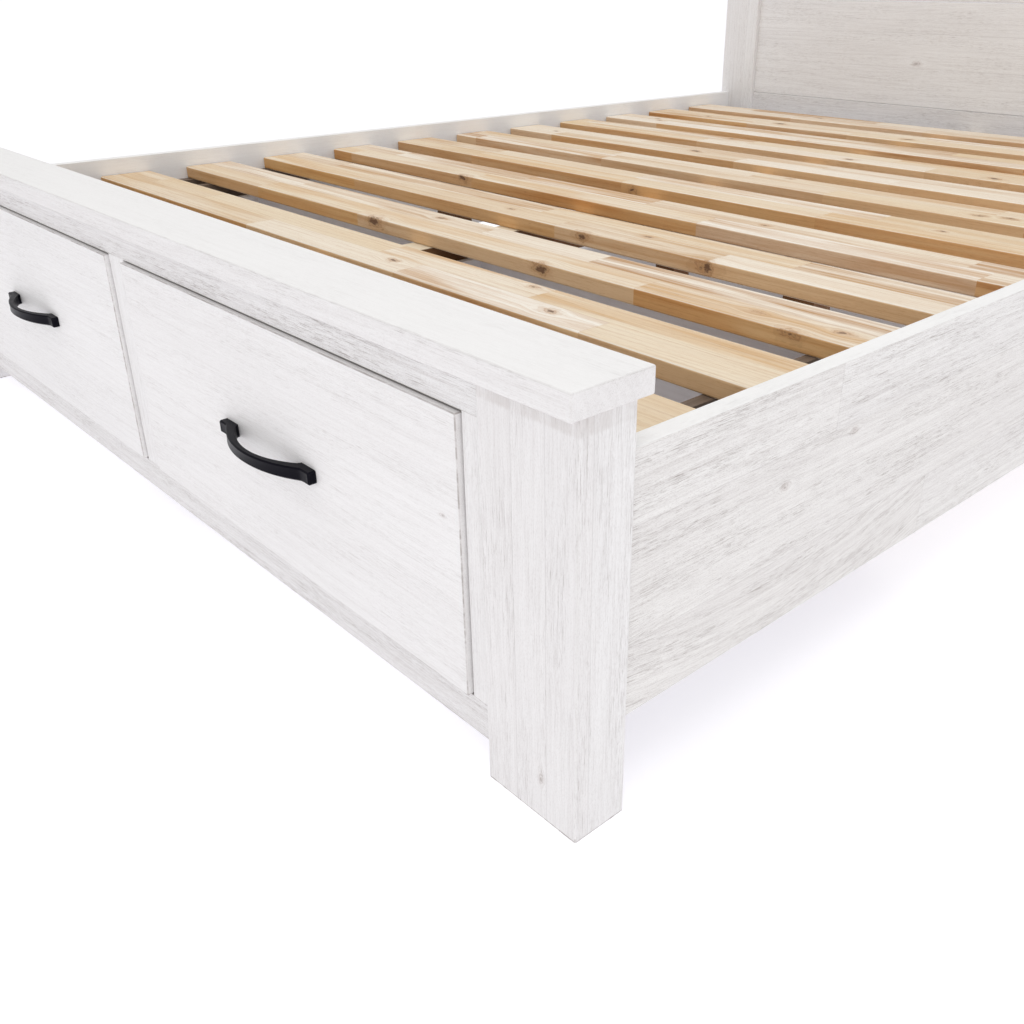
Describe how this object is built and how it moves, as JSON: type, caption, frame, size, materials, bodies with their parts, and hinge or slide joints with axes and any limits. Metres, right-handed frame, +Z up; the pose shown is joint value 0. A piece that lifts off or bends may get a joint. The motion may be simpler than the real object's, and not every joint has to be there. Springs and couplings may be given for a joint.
{
  "type": "bed frame",
  "caption": "Wooden bed frame with a low footboard that holds storage drawers, capped posts, side rails, slats, a centre beam and a planked headboard.",
  "frame": {"origin": "on the floor, below the centre of the bed frame's bounding box", "axes": "+Z up, +Y from the foot of the bed to its head, +X to the right seen from the foot; the drawers face -Y"},
  "size_m": [1.614, 2.2366, 1.172],
  "materials": {
    "whitewashed_wood": "brushed matt whitewash with fine grey grain",
    "slat_wood": "raw finger-jointed acacia, planed",
    "support_wood": "raw brown hardwood",
    "housing_wood": "raw brown hardwood",
    "box_wood": "pale washed pine",
    "bottom_panel": "grey sealed hardboard",
    "handle_iron": "satin black cast iron",
    "runner_steel": "cream powder coat",
    "zinc_hardware": "zinc plated"
  },
  "bodies": {
    "frame": {"bracket_bolts": "zinc_hardware", "centre_beam": "support_wood", "centre_legs": "support_wood", "corner_brackets": "zinc_hardware", "foot_post_left": "whitewashed_wood", "foot_post_right": "whitewashed_wood", "footboard_bottom_rail": "whitewashed_wood", "footboard_cap": "whitewashed_wood", "footboard_stile_centre": "whitewashed_wood", "footboard_stile_left": "whitewashed_wood", "footboard_stile_right": "whitewashed_wood", "footboard_top_rail": "whitewashed_wood", "head_post_left": "whitewashed_wood", "head_post_right": "whitewashed_wood", "headboard_bottom_rail": "whitewashed_wood", "headboard_cap": "whitewashed_wood", "headboard_plank_lower": "whitewashed_wood", "headboard_plank_middle": "whitewashed_wood", "headboard_plank_upper": "whitewashed_wood", "headboard_top_rail": "whitewashed_wood", "housing_back_rail": "housing_wood", "housing_partition": "housing_wood", "housing_side_left": "housing_wood", "housing_side_right": "housing_wood", "runner_battens": "housing_wood", "runner_channels": "runner_steel", "side_rail_left": "whitewashed_wood", "side_rail_right": "whitewashed_wood", "slat_01": "slat_wood", "slat_02": "slat_wood", "slat_03": "slat_wood", "slat_04": "slat_wood", "slat_05": "slat_wood", "slat_06": "slat_wood", "slat_07": "slat_wood", "slat_08": "slat_wood", "slat_09": "slat_wood", "slat_10": "slat_wood", "slat_11": "slat_wood", "slat_12": "slat_wood", "slat_cleat_left": "support_wood", "slat_cleat_right": "support_wood", "slat_legs": "support_wood", "slat_screws": "zinc_hardware"},
    "drawer_left": {"drawer_back_left": "box_wood", "drawer_bottom_left": "bottom_panel", "drawer_front_left": "whitewashed_wood", "drawer_runners_left": "runner_steel", "drawer_side_inner_left": "box_wood", "drawer_side_outer_left": "box_wood", "handle_left": "handle_iron", "handle_screws_left": "zinc_hardware"},
    "drawer_right": {"drawer_back_right": "box_wood", "drawer_bottom_right": "bottom_panel", "drawer_front_right": "whitewashed_wood", "drawer_runners_right": "runner_steel", "drawer_side_inner_right": "box_wood", "drawer_side_outer_right": "box_wood", "handle_right": "handle_iron", "handle_screws_right": "zinc_hardware"}
  },
  "joints": [
    {"name": "drawer_left_slide", "type": "slide", "parent": "frame", "child": "drawer_left", "axis": [0, -1, 0], "range_m": [0, 0.38]},
    {"name": "drawer_right_slide", "type": "slide", "parent": "frame", "child": "drawer_right", "axis": [0, -1, 0], "range_m": [0, 0.38]}
  ]
}
